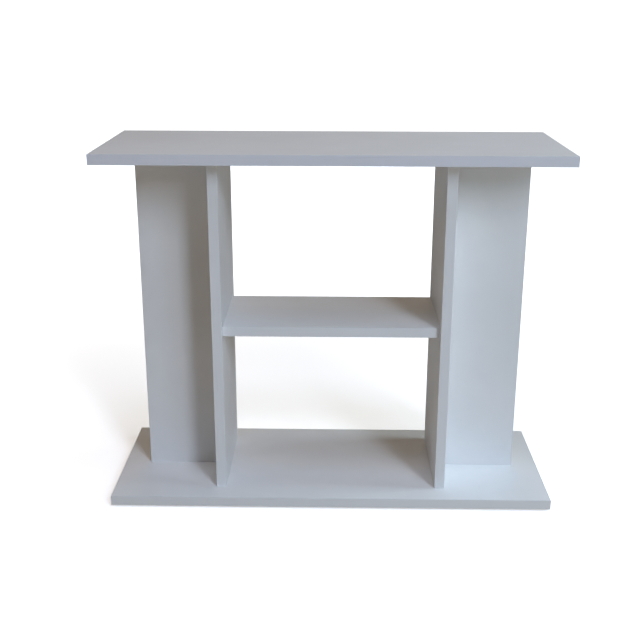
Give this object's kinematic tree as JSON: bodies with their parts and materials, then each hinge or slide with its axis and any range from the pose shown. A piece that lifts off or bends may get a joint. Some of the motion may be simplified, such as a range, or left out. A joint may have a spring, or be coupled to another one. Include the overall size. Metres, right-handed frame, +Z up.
{
  "type": "aquarium stand",
  "caption": "Open aquarium stand of white melamine boards: a top board and an equal base board joined by T-shaped columns, with a fixed shelf between the uprights.",
  "frame": {"origin": "on the floor under the middle of the stand, at the floor glides' lowest points", "axes": "+Z up; +X to the right when facing the front; the front faces -Y"},
  "size_m": [0.8, 0.3, 0.643],
  "materials": {
    "melamine": "white melamine-faced particleboard, fine pearl texture, satin",
    "edge_strip": "white plastic edge strip, satin, rounded arrises",
    "dowel_beech": "unfinished beech",
    "cam_zinc": "die-cast zinc, dull",
    "steel": "zinc plated",
    "cap_plastic": "white moulded plastic",
    "glide_plastic": "off-white moulded polyethylene"
  },
  "bodies": {
    "root": {"top_panel": "melamine", "base_panel": "melamine", "shelf": "melamine", "left_upright": "melamine", "left_wing": "melamine", "right_upright": "melamine", "right_wing": "melamine", "top_edge_front": "edge_strip", "top_edge_rear": "edge_strip", "top_edge_left": "edge_strip", "top_edge_right": "edge_strip", "base_edge_front": "edge_strip", "base_edge_rear": "edge_strip", "base_edge_left": "edge_strip", "base_edge_right": "edge_strip", "left_upright_edge_front": "edge_strip", "left_upright_edge_rear": "edge_strip", "left_wing_edge": "edge_strip", "right_upright_edge_front": "edge_strip", "right_upright_edge_rear": "edge_strip", "right_wing_edge": "edge_strip", "shelf_edge_front": "edge_strip", "shelf_edge_rear": "edge_strip", "wood_dowels": "dowel_beech", "cam_locks": "cam_zinc", "cam_bolts": "steel", "base_screws": "steel", "glide_nails": "steel", "cam_cover_caps": "cap_plastic", "floor_glides": "glide_plastic"}
  },
  "joints": []
}
